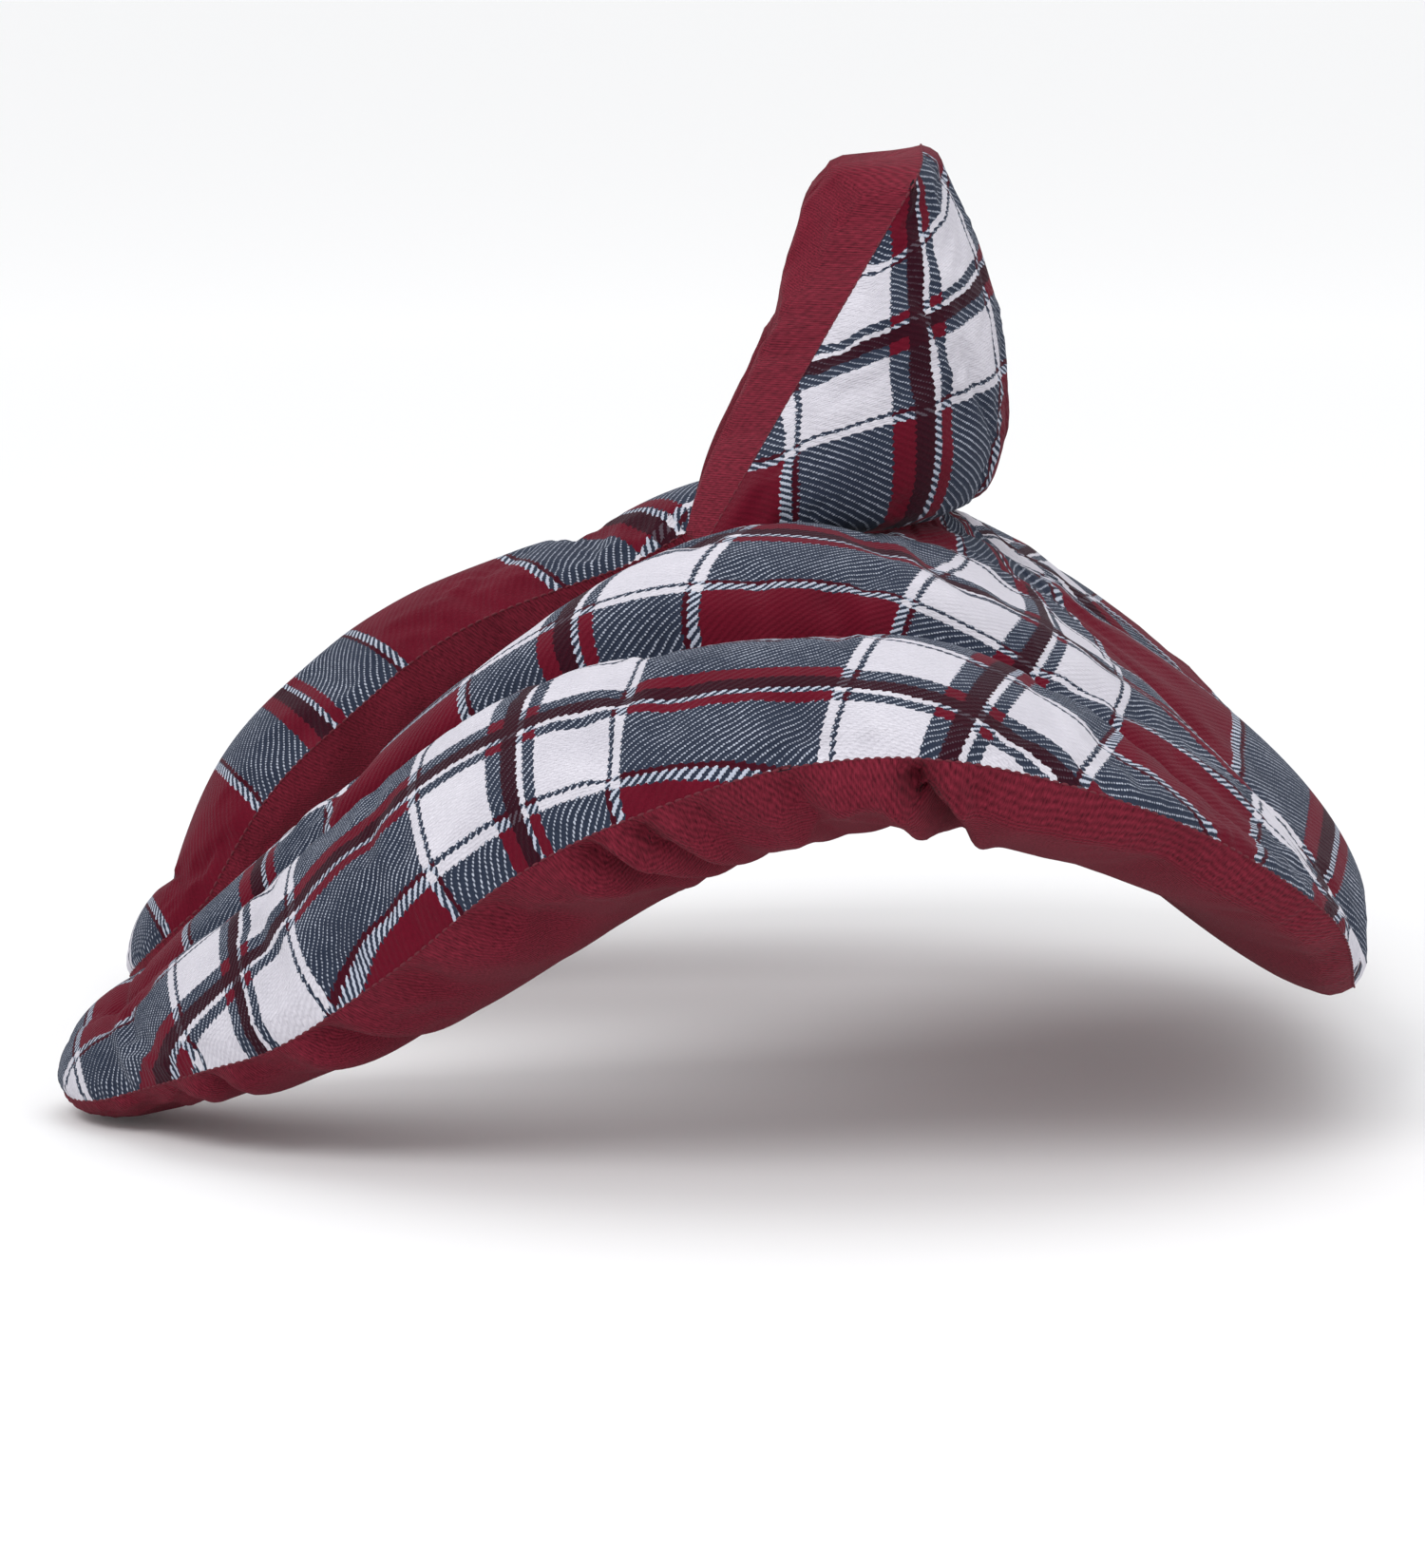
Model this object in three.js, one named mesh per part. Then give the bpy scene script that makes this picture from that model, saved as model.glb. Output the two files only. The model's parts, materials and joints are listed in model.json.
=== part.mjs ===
// U shaped neck pillow: a padded yoke over the shoulders, two front arms and a stand-up collar.
//
// Frame: millimetres, +X to the wearer's left, -Y to the wearer's front, +Z up. The origin is the middle of
// the neck opening, at the height of the neckline seam.
//
// Every padded piece is two cloth panels sewn together round their edges, with filling between them. A panel
// is a shell laid on a surface that rises from one seam and comes down to the other.
import * as THREE from 'three';

// ---- Driving dimensions ------------------------------------------------------------------------------

// Sections of the pad's left half, from the arm's end to the back centre; the right half mirrors them.
// neck and rim are the section's two seams, top and under the heights of the padding above and below the
// line between them, and crease the place (0 at the neck, 1 at the rim) and depth of the fold that parts the
// two rolls. skew moves the crown of a section towards the rim.
const PAD = [
  { neck: [64, -192, -152], rim: [127, -200, -170], top: 20, under: 17, skew: 1.0, crease: [0.53, 4] },
  { neck: [67, -162, -127], rim: [157, -174, -157], top: 27, under: 25, skew: 1.05, crease: [0.50, 7] },
  { neck: [69, -124, -94], rim: [173, -147, -145], top: 32, under: 33, skew: 1.1, crease: [0.49, 14] },
  { neck: [68, -88, -61], rim: [191, -111, -118], top: 35, under: 44, skew: 1.15, crease: [0.48, 18] },
  { neck: [65, -56, -34], rim: [203, -78, -90], top: 33, under: 49, skew: 1.15, crease: [0.49, 20] },
  { neck: [63, -28, -14], rim: [212, -43, -70], top: 27, under: 50, skew: 0.95, crease: [0.51, 20] },
  { neck: [61, 4, -5], rim: [215, 7, -53], top: 21, under: 50, skew: 0.85, crease: [0.53, 16] },
  { neck: [53, 30, -3], rim: [212, 59, -52], top: 15, under: 50, skew: 1.2, crease: [0.54, 13] },
  { neck: [34, 47, -1], rim: [193, 123, -73], top: 8, under: 46, skew: 1.7, crease: [0.66, 8] },
  { neck: [15, 53, 0], rim: [152, 170, -108], top: 8, under: 38, skew: 1.8, crease: [0.75, 4] },
  { neck: [7, 54, 0], rim: [85, 183, -142], top: 16, under: 28, skew: 1.8, crease: [0.75, 1] },
  { neck: [0, 54, 0], rim: [0, 187, -150], top: 28, under: 25, skew: 2.1, crease: [0.75, 0] },
];
const TOP_FULLNESS = 0.58; // exponent of a section's curve: 0.5 is an ellipse, 1 a parabola
const UNDER_FULLNESS = 0.5;
const CREASE_WIDTH = 0.12; // of the section
const END_REACH = new THREE.Vector3(-12, -29, -12); // from the first section to the tip of the rounded arm end
const END_STOP = 0.93; // how far round that end the panels go, of a quarter turn

// The right arm lies a little higher and further forward than the left one.
const RIGHT_SHIFT = new THREE.Vector3(0, -14, 22);
const RIGHT_SHIFT_START = 4.7; // section where the shift starts
const RIGHT_SHIFT_SPAN = 2.6; // sections over which it grows
const RIGHT_SHIFT_FADE = 2.5; // sections over which it fades out at the tip

// Sections of the collar's left half, from its front end to the back centre. rest is the part of the
// collar's height that lies against the pad on the outside.
const COLLAR = [
  { base: [65, -24, -8], crest: [46, 43, 107], rest: 0.13 },
  { base: [61, 2, -4], crest: [39, 45, 111], rest: 0.18 },
  { base: [53, 25, -3], crest: [30, 46, 114], rest: 0.17 },
  { base: [37, 43, -2], crest: [20, 46, 116], rest: 0.11 },
  { base: [18, 52, 0], crest: [10, 46, 117], rest: 0.07 },
  { base: [0, 54, 0], crest: [0, 46, 117], rest: 0.06 },
];
const COLLAR_OUTER = { depth: 23, low: 0.66, fullness: 0.75, taper: 0.6 };
const COLLAR_INNER = { depth: 38, fullness: 0.32, taper: 0.3, foot: 0.5, grown: 0.8 };
const COLLAR_TAPER = 2.5; // sections over which the collar thins to its end seam
const COLLAR_END_TURN = 3; // sections over which its inside turns to face forwards
const COLLAR_END_FACE = new THREE.Vector3(0.5, 0.87, 0);
const COLLAR_STRAIGHT = 2; // sections from the back centre before that turn starts
const COLLAR_INNER_REST = 0.02; // of its height
const COLLAR_FILL_LIFT = 0.05; // how much higher than the panels its filling starts

const CLOTH = 1.2; // thickness of a panel
const SEAM_GAP = 1.8; // from a seam's line to the edge of each panel that it joins
const FILL_INSET = 3; // from the middle of a panel to the filling
const THREAD_RADIUS = 0.5;

// Each arm bends up and down on the yoke along a line just above the crowns of one section.
// lower is in degrees, hingeRise and clearance in mm, and searched is how many sections the cut may wander.
const SPLIT = { section: 4.7, hingeRise: 34, lower: 8, clearance: 1, searched: 2 };
const HALVINGS = 24; // of that search

const YOKE_ROWS = 24;
const ARM_ROWS = 16;
const COLLAR_ROWS = 16;
const COLLAR_COLUMNS = 8;
const COLUMNS_PER_ROLL = 5;
const CREASE_COLUMN = { lowest: 0.35, highest: 0.6 }; // where the column on the crease may lie
const ARM_ROW_CROWDING = 2; // rows come closer towards the yoke
const THREAD_SIDES = 6;
const THREAD_STEPS = 56;
const COLLAR_THREAD = { ends: 12, top: 24 }; // points of the line that its thread follows

// ---- Curves through the tables -------------------------------------------------------------------------

const { clamp, lerp, degToRad } = THREE.MathUtils;
const smooth = (x) => THREE.MathUtils.smoothstep(x, 0, 1);

// One number of every row, with a row added at each end: straight on at the open end, and the mirror image
// at the centre line.
function column(values, changesSign = false) {
  const beyond = values[values.length - 2];
  return [2 * values[0] - values[1], ...values, changesSign ? -beyond : beyond];
}

// Catmull-Rom value of a column at row k.
function along(numbers, k) {
  const i = clamp(Math.floor(k), 0, numbers.length - 4);
  const f = k - i;
  const [a, b, c, d] = numbers.slice(i, i + 4);
  return b + 0.5 * f * (c - a + f * (2 * a - 5 * b + 4 * c - d + f * (3 * (b - c) + d - a)));
}

const pointColumns = (points) => [0, 1, 2].map((i) => column(points.map((p) => p[i]), i === 0));
const pointAlong = (columns, k) => new THREE.Vector3(...columns.map((numbers) => along(numbers, k)));

// A hump from 0 through 1 at the middle and back to 0.
const hump = (x, fullness) => Math.max(4 * x * (1 - x), 0) ** fullness;

// ---- The pad's surface ---------------------------------------------------------------------------------

const pad = {
  neck: pointColumns(PAD.map((row) => row.neck)),
  rim: pointColumns(PAD.map((row) => row.rim)),
  top: column(PAD.map((row) => row.top)),
  under: column(PAD.map((row) => row.under)),
  skew: column(PAD.map((row) => row.skew)),
  creaseAt: column(PAD.map((row) => row.crease[0])),
  creaseDepth: column(PAD.map((row) => row.crease[1])),
};
const PAD_HALF = PAD.length - 1; // sections from the back centre to the start of an arm's rounded end

// Left half at row k; rows below 0 go round the arm's end, one quarter turn for each row.
function padSection(k) {
  const row = Math.max(k, 0);
  const turn = Math.max(-k, 0) * Math.PI / 2;
  const size = Math.cos(turn);
  const neck = pointAlong(pad.neck, row);
  const rim = pointAlong(pad.rim, row);
  const middle = neck.clone().lerp(rim, 0.5);
  for (const seam of [neck, rim]) {
    seam.sub(middle).multiplyScalar(size).add(middle).addScaledVector(END_REACH, Math.sin(turn));
  }
  const top = along(pad.top, row) * size;
  const under = along(pad.under, row) * size;
  const creaseDepth = along(pad.creaseDepth, row) * size;
  return { neck, rim, top, under, creaseDepth, skew: along(pad.skew, row), creaseAt: along(pad.creaseAt, row) };
}

const STEP = 0.02; // for differences, in sections and in widths

function sectionNormal(k, t) {
  const before = padSection(k - STEP);
  const after = padSection(k + STEP);
  const forward = after.neck.lerp(after.rim, t).sub(before.neck.lerp(before.rim, t));
  const { neck, rim } = padSection(k);
  return rim.sub(neck).cross(forward).normalize();
}

// s counts sections from the back centre, positive to the left; t runs from the neck seam to the rim seam;
// face is 1 on top and -1 below.
function padPoint(s, t, face) {
  const k = PAD_HALF - Math.abs(s);
  const section = padSection(k);
  const fromCrease = (t - section.creaseAt) / CREASE_WIDTH;
  const crease = section.creaseDepth * Math.exp(-(fromCrease ** 2)) * hump(t, 1);
  const above = section.top * hump(t ** section.skew, TOP_FULLNESS) - crease;
  const below = section.under * hump(t, UNDER_FULLNESS);
  const height = (face > 0 ? above : -below) + face * SEAM_GAP;
  const point = section.neck.clone().lerp(section.rim, t).addScaledVector(sectionNormal(k, t), height);
  if (s < 0) {
    const amount = smooth((RIGHT_SHIFT_START - k) / RIGHT_SHIFT_SPAN) * smooth((k + 1) / RIGHT_SHIFT_FADE);
    point.addScaledVector(RIGHT_SHIFT, amount);
    point.x *= -1;
  }
  return point;
}

function seamPoint(s, t) {
  return padPoint(s, t, 1).lerp(padPoint(s, t, -1), 0.5);
}

// A point of a surface moved outwards along the surface's own normal. side is 1 where the surface's rows
// turned towards its columns point outwards. Rows end at plus and minus lastRow.
function moved(surface, row, col, lastRow, side, distance) {
  const inside = clamp(col, 2 * STEP, 1 - 2 * STEP);
  const within = clamp(row, 2 * STEP - lastRow, lastRow - 2 * STEP);
  const rowStep = surface(within + STEP, inside).sub(surface(within - STEP, inside));
  const colStep = surface(within, inside + STEP).sub(surface(within, inside - STEP));
  const outward = rowStep.cross(colStep).normalize().multiplyScalar(side * distance);
  return surface(row, col).add(outward);
}

// ---- Where an arm leaves the yoke ----------------------------------------------------------------------

function splitFrame(side) {
  const section = padSection(SPLIT.section);
  const across = section.rim.clone().sub(section.neck).normalize();
  const up = sectionNormal(SPLIT.section, 0.5);
  const hinge = section.neck.lerp(section.rim, 0.5).addScaledVector(up, SPLIT.hingeRise);
  const toTip = across.clone().cross(up);
  for (const vector of [across, up, hinge, toTip]) {
    vector.x *= side;
  }
  return { across, up, hinge, toTip };
}

// The station where a surface meets the cut: two planes through the hinge line that open downwards, so that
// the arm can be lowered. part is 1 for the arm and -1 for the yoke.
function cutStation(side, part, t, face) {
  const { up, hinge, toTip } = splitFrame(side);
  const half = Math.tan(degToRad(SPLIT.lower / 2));
  const beyond = (s) => {
    const offset = padPoint(side * s, t, face).sub(hinge);
    return offset.dot(toTip) - part * (Math.max(-offset.dot(up), 0) * half + SPLIT.clearance / 2);
  };
  let low = PAD_HALF - SPLIT.section - SPLIT.searched;
  let high = PAD_HALF - SPLIT.section + SPLIT.searched;
  for (let i = 0; i < HALVINGS; i += 1) {
    const middle = (low + high) / 2;
    if (beyond(middle) > 0) high = middle;
    else low = middle;
  }
  return side * low;
}

// ---- Bodies from surfaces ------------------------------------------------------------------------------

const dense = (x) => (1 - Math.cos(Math.PI * x)) / 2; // closer steps at both ends

// Columns of the pad, with one on the crease.
function padColumn(s, j) {
  const crease = clamp(along(pad.creaseAt, Math.max(PAD_HALF - Math.abs(s), 0)), 0.35, 0.6);
  const x = j / COLUMNS_PER_ROLL;
  return x <= 1 ? crease * dense(x) : crease + (1 - crease) * dense(x - 1);
}

function grid(rows, columns, pointAt) {
  return Array.from({ length: rows + 1 }, (_, i) => Array.from({ length: columns + 1 }, (_, j) => pointAt(i, j)));
}

// One closed body between two grids; outer's rows turned towards its columns point out of the body.
function between(outer, inner) {
  const rows = outer.length;
  const columns = outer[0].length;
  const innerStart = rows * columns;
  const at = (i, j) => i * columns + j;
  const index = [];
  const quad = (a, b, c, d) => index.push(a, b, c, a, c, d);
  for (let i = 0; i + 1 < rows; i += 1) {
    for (let j = 0; j + 1 < columns; j += 1) {
      const corners = [at(i, j), at(i + 1, j), at(i + 1, j + 1), at(i, j + 1)];
      quad(...corners);
      quad(...corners.reverse().map((corner) => corner + innerStart));
    }
  }
  const border = [];
  for (let i = 0; i + 1 < rows; i += 1) border.push(at(i, 0));
  for (let j = 0; j + 1 < columns; j += 1) border.push(at(rows - 1, j));
  for (let i = rows - 1; i > 0; i -= 1) border.push(at(i, columns - 1));
  for (let j = columns - 1; j > 0; j -= 1) border.push(at(0, j));
  border.forEach((from, i) => {
    const to = border[(i + 1) % border.length];
    quad(from + innerStart, to + innerStart, to, from);
  });
  const geometry = new THREE.BufferGeometry();
  const positions = [...outer.flat(), ...inner.flat()].flatMap((point) => point.toArray());
  geometry.setAttribute('position', new THREE.Float32BufferAttribute(positions, 3));
  geometry.setIndex(index);
  geometry.computeVertexNormals();
  return geometry;
}

// A stretch of the pad: stationAt says where row i of column j lies, for each face.
function padGrid(rows, stationAt, face, distance) {
  const surface = (s, t) => padPoint(s, t, face);
  return grid(rows, 2 * COLUMNS_PER_ROLL, (i, j) => {
    const s = stationAt(i, j, face);
    return moved(surface, s, padColumn(s, j), PAD_HALF + 1, face, distance);
  });
}

const padPieces = (rows, stationAt) => ({
  top: between(padGrid(rows, stationAt, 1, CLOTH / 2), padGrid(rows, stationAt, 1, -CLOTH / 2)),
  under: between(padGrid(rows, stationAt, -1, -CLOTH / 2), padGrid(rows, stationAt, -1, CLOTH / 2)),
  fill: between(padGrid(rows, stationAt, 1, -FILL_INSET), padGrid(rows, stationAt, -1, -FILL_INSET)),
});

// Cut stations of every column, worked out once for each face. A column's place depends on its station, so
// it is found at the split and kept.
function cutRow(side, part) {
  const split = side * (PAD_HALF - SPLIT.section);
  const row = (face) => grid(0, 2 * COLUMNS_PER_ROLL, (_, j) => cutStation(side, part, padColumn(split, j), face))[0];
  return { 1: row(1), [-1]: row(-1) };
}

function yokePieces() {
  const left = cutRow(1, -1);
  const right = cutRow(-1, -1);
  return padPieces(YOKE_ROWS, (i, j, face) => lerp(right[face][j], left[face][j], i / YOKE_ROWS));
}

// An arm's rows lie closer together round its end. On the right they run from the tip to the yoke, so that
// rows turned towards columns point up on both arms.
function armPieces(side) {
  const cut = cutRow(side, 1);
  const tip = side * (PAD_HALF + END_STOP);
  return padPieces(ARM_ROWS, (i, j, face) => {
    const fromYoke = side > 0 ? i / ARM_ROWS : 1 - i / ARM_ROWS;
    return lerp(tip, cut[face][j], (1 - fromYoke) ** ARM_ROW_CROWDING);
  });
}

function thread(points) {
  const section = new THREE.Shape().absarc(0, 0, THREAD_RADIUS, 0, 2 * Math.PI);
  return new THREE.ExtrudeGeometry(section, {
    steps: THREAD_STEPS,
    curveSegments: THREAD_SIDES / 2,
    bevelEnabled: false,
    extrudePath: new THREE.CatmullRomCurve3(points),
  });
}

const spread = (count, from, to) => Array.from({ length: count + 1 }, (_, i) => lerp(from, to, i / count));

function yokeSeam(t) {
  const [right, left] = [-1, 1].map((side) => cutStation(side, -1, t, 1));
  return thread(spread(YOKE_ROWS * 2, right, left).map((s) => seamPoint(s, t)));
}

// Along the arm's rim, round its end and back along the neck side.
function armSeam(side) {
  const tip = PAD_HALF + END_STOP;
  const out = spread(24, Math.abs(cutStation(side, 1, 1, 1)), tip).map((s) => seamPoint(side * s, 1));
  const back = spread(24, tip, Math.abs(cutStation(side, 1, 0, 1))).map((s) => seamPoint(side * s, 0));
  return thread([...out, ...back]);
}

// ---- The collar ----------------------------------------------------------------------------------------

const collar = {
  base: pointColumns(COLLAR.map((row) => row.base)),
  crest: pointColumns(COLLAR.map((row) => row.crest)),
  rest: column(COLLAR.map((row) => row.rest)),
};
const COLLAR_HALF = COLLAR.length - 1;

// s counts sections from the back centre, positive to the left; q runs from the neckline to the top edge;
// face is 1 outside, -1 on the neck's side and 0 on the surface between the seams.
function collarPoint(s, q, face) {
  const k = COLLAR_HALF - Math.abs(s);
  const ruled = (row) => pointAlong(collar.base, row).lerp(pointAlong(collar.crest, row), q);
  const forward = ruled(k - STEP).sub(ruled(k + STEP));
  const up = pointAlong(collar.crest, k).sub(pointAlong(collar.base, k));
  const backward = up.cross(forward).normalize();
  const nearEnd = clamp(k / COLLAR_TAPER, 0, 1);
  const thin = 1 - (1 - nearEnd) ** 2;
  let height = SEAM_GAP;
  if (face > 0) {
    height += COLLAR_OUTER.depth * hump(q ** COLLAR_OUTER.low, COLLAR_OUTER.fullness) * thin ** COLLAR_OUTER.taper;
  } else {
    const grown = lerp(COLLAR_INNER.foot, 1, clamp(q / COLLAR_INNER.grown, 0, 1));
    height += COLLAR_INNER.depth * hump(q, COLLAR_INNER.fullness) * thin ** COLLAR_INNER.taper * grown;
    backward.lerp(COLLAR_END_FACE, clamp((COLLAR_HALF - k - COLLAR_STRAIGHT) / COLLAR_END_TURN, 0, 1));
  }
  const point = ruled(k).addScaledVector(backward, face * height);
  if (s < 0) point.x *= -1;
  return point;
}

function collarGrid(face, distance, lift = 0) {
  const surface = (s, q) => collarPoint(s, q, face);
  return grid(COLLAR_ROWS, COLLAR_COLUMNS, (i, j) => {
    const s = lerp(-COLLAR_HALF, COLLAR_HALF, dense(i / COLLAR_ROWS));
    const rest = face > 0 ? along(collar.rest, COLLAR_HALF - Math.abs(s)) : COLLAR_INNER_REST;
    const q = lerp(rest + lift, 1, dense(j / COLLAR_COLUMNS));
    return moved(surface, s, q, COLLAR_HALF, -face, distance);
  });
}

function collarPieces() {
  return {
    outer: between(collarGrid(1, -CLOTH / 2), collarGrid(1, CLOTH / 2)),
    inner: between(collarGrid(-1, CLOTH / 2), collarGrid(-1, -CLOTH / 2)),
    fill: between(
      collarGrid(-1, -FILL_INSET, COLLAR_FILL_LIFT),
      collarGrid(1, -FILL_INSET, COLLAR_FILL_LIFT),
    ),
  };
}

// Up one end of the collar, along its top edge and down the other end.
function collarSeam() {
  const line = (s, q) => collarPoint(s, q, 0);
  const foot = COLLAR[0].rest;
  const ends = spread(COLLAR_THREAD.ends, foot, 1);
  return thread([
    ...ends.map((q) => line(-COLLAR_HALF, q)),
    ...spread(COLLAR_THREAD.top, -COLLAR_HALF, COLLAR_HALF).slice(1, -1).map((s) => line(s, 1)),
    ...ends.reverse().map((q) => line(COLLAR_HALF, q)),
  ]);
}

// ---- The pillow ----------------------------------------------------------------------------------------

const cloth = (color) => new THREE.MeshStandardMaterial({ color, roughness: 0.95, metalness: 0 });
const materials = {
  tartan: cloth('#5f6070'),
  twill: cloth('#782a38'),
  filling: cloth('#cfc3a8'),
  thread: cloth('#5a1c28'),
};

const pillow = new THREE.Group();

function addMesh(name, geometry, material) {
  const mesh = new THREE.Mesh(geometry, material);
  mesh.name = name;
  pillow.add(mesh);
}

function addPad(name, pieces) {
  addMesh(`${name}_top_panel`, pieces.top, materials.tartan);
  addMesh(`${name}_under_panel`, pieces.under, materials.twill);
  addMesh(`${name}_fill`, pieces.fill, materials.filling);
}

addPad('yoke', yokePieces());
addMesh('yoke_edge_thread', yokeSeam(1), materials.thread);
addMesh('neckline_thread', yokeSeam(0), materials.thread);

for (const [name, side] of [['left_arm', 1], ['right_arm', -1]]) {
  addPad(name, armPieces(side));
  addMesh(`${name}_edge_thread`, armSeam(side), materials.thread);
}

const collarParts = collarPieces();
addMesh('collar_outer_panel', collarParts.outer, materials.tartan);
addMesh('collar_inner_panel', collarParts.inner, materials.twill);
addMesh('collar_fill', collarParts.fill, materials.filling);
addMesh('collar_edge_thread', collarSeam(), materials.thread);

export default pillow;
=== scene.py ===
"""U shaped neck pillow: the visible cloth, stitching and filling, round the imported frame.

Lengths in the tables are millimetres in the row frame. Every panel is a grid of points: rows run round the
pillow from the right arm's end over the back to the left arm's end, columns from the neck seam to the rim.
"""

import json
import math

import bpy
import numpy as np
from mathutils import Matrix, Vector


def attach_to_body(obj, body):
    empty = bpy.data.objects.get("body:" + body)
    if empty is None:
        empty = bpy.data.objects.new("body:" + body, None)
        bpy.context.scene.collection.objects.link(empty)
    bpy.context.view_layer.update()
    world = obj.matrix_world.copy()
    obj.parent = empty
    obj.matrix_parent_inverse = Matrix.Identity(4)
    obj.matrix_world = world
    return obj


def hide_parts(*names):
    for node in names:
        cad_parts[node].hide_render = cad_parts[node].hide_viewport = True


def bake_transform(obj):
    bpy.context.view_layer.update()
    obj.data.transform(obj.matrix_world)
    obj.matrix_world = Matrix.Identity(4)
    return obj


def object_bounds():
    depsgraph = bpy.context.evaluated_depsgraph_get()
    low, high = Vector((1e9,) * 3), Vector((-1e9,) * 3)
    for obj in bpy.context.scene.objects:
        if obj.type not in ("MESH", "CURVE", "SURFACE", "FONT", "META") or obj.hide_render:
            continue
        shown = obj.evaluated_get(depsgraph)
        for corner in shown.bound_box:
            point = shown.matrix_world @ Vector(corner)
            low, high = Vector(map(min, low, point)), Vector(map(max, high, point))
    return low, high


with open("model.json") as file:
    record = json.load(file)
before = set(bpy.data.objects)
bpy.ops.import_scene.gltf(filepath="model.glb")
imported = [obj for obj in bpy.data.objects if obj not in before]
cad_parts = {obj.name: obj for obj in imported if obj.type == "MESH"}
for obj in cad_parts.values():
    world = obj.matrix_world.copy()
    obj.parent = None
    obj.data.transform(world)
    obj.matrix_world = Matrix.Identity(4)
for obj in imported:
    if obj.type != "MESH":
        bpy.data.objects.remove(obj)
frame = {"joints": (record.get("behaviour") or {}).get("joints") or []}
CAD_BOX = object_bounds()
MM = 0.001

# ---- Driving dimensions -------------------------------------------------------------------------------

# Sections of the pad's left half, from the arm's end to the back centre: the cloth's flat coordinates (along
# and across) at the neck seam and at the rim, both seams' places, the padding's height above and below, and
# its skew: above 1 its crown lies nearer to the rim than to the neck.
PAD = [
    ((-300, 96), (-300, 208), (64, -192, -152), (127, -200, -170), 20, 17, 1.0),
    ((-255, 91), (-262, 231), (67, -162, -127), (157, -174, -157), 27, 25, 1.05),
    ((-204, 87), (-215, 247), (69, -124, -94), (173, -147, -145), 32, 33, 1.1),
    ((-154, 84), (-160, 261), (68, -88, -61), (191, -111, -118), 35, 44, 1.15),
    ((-115, 78), (-110, 265), (65, -56, -34), (203, -78, -90), 33, 49, 1.15),
    ((-87, 69), (-60, 265), (63, -28, -14), (212, -43, -70), 27, 50, 0.95),
    ((-59, 60), (-10, 253), (61, 4, -5), (215, 7, -53), 21, 50, 0.85),
    ((-29, 52), (40, 240), (53, 30, -3), (212, 59, -52), 15, 50, 1.2),
    ((-18, 35), (100, 194), (34, 47, -1), (193, 123, -73), 8, 46, 1.7),
    ((4, 15), (165, 142), (15, 53, 0), (152, 170, -108), 8, 38, 1.8),
    ((26, 7), (190, 80), (7, 54, 0), (85, 183, -142), 16, 28, 1.8),
    ((38, 0), (197, 0), (0, 54, 0), (0, 187, -150), 28, 25, 2.1),
]
PAD_HALF = len(PAD) - 1
TOP_FULLNESS, UNDER_FULLNESS, CREASE_FULLNESS = 0.58, 0.5, 0.7  # a lower number gives a blunter edge
# The arm's round end: how far it reaches past its first section, how much cloth it takes, and the share of it
# where the rows stop.
END_REACH = np.array([-12.0, -29.0, -12.0])
END_CLOTH = 42.0
END_STOP = 0.96
# The right arm lies further forward and higher: by how much, below which section, over how many sections this
# grows, and over how many it fades to the arm's end.
RIGHT_SHIFT = np.array([0.0, -14.0, 22.0])
RIGHT_SHIFT_START, RIGHT_SHIFT_SPAN, RIGHT_SHIFT_FADE = 4.7, 2.6, 2.5

# The fold that parts the two rolls: along, across and depth in the cloth's flat coordinates.
CREASE = [
    (-342, 152, 2),
    (-250, 164, 9),
    (-160, 168, 21),
    (-60, 166, 28),
    (-10, 160, 24),
    (15, 150, 21),
    (40, 139, 16),
    (60, 140, 13),
    (110, 150, 10),
    (160, 141, 6),
    (195, 120, 1),
]
CREASE_WIDTH = 12.0
# How much cloth the fold takes from the inner roll for each millimetre of its depth, and over what part of
# the way from the neck to the rim: where it has grown, where it has ended and how long it takes to end.
ROLL_SLACK, ROLL_SPAN = 0.6, (0.36, 0.62, 0.2)
BACK_FADE = 50.0  # the fold takes no cloth at the back's middle, where the two sides' folds would meet

# Sections of the collar's left half, from its front end to the back centre: at the neckline and on top.
COLLAR = [
    ((65, -24, -8), (46, 43, 107)),
    ((61, 2, -4), (39, 45, 111)),
    ((53, 25, -3), (30, 46, 114)),
    ((37, 43, -2), (20, 46, 116)),
    ((18, 52, 0), (10, 46, 117)),
    ((0, 54, 0), (0, 46, 117)),
]
COLLAR_HALF = len(COLLAR) - 1
COLLAR_FLAT = (116.0, 60.0, 132.0)  # half width at the neckline, half width on top, height of the flat cut
# The collar's padding: how far it swells outwards and inwards, the share of the inward swelling at its foot
# and the height from which it is whole, then how each swelling leans, fills out and thins to the front ends.
COLLAR_OUT, COLLAR_IN, COLLAR_FOOT, COLLAR_WHOLE = 23.0, 43.0, 0.88, 0.8
OUT_SKEW, OUT_FULLNESS, OUT_THINNING = 0.66, 0.75, 0.6
IN_FULLNESS, IN_THINNING = 0.26, 0.3
COLLAR_TAPER = 2.5  # sections from each front end over which the padding thins
# Towards its front ends the inside swells this way instead of square to the collar: from how many sections
# away from the back centre, and over how many.
COLLAR_AHEAD, AHEAD_START, AHEAD_SPAN = np.array([0.5, 0.87, 0.0]), 2.0, 3.0
COLLAR_RISE = 20.0  # how far the flat cut rises to its front ends
STEP = 0.02  # of a section, to either side of a point, to find which way the rows run
RIM_SAMPLES = 1601  # points that measure the rim's length

# The joints' curves: the station where an arm starts, the way that it leaves the yoke and the length of its
# curve, and the start and end of the collar's curve in metres.
SPLIT_STATION = 5.0
ARM_AHEAD = np.array([-0.276, -0.854, -0.441])
ARM_CURVE = 95.0
COLLAR_CURVE = ((0, 0.054, 0.004), (0, 0.054, 0.062))

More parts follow.
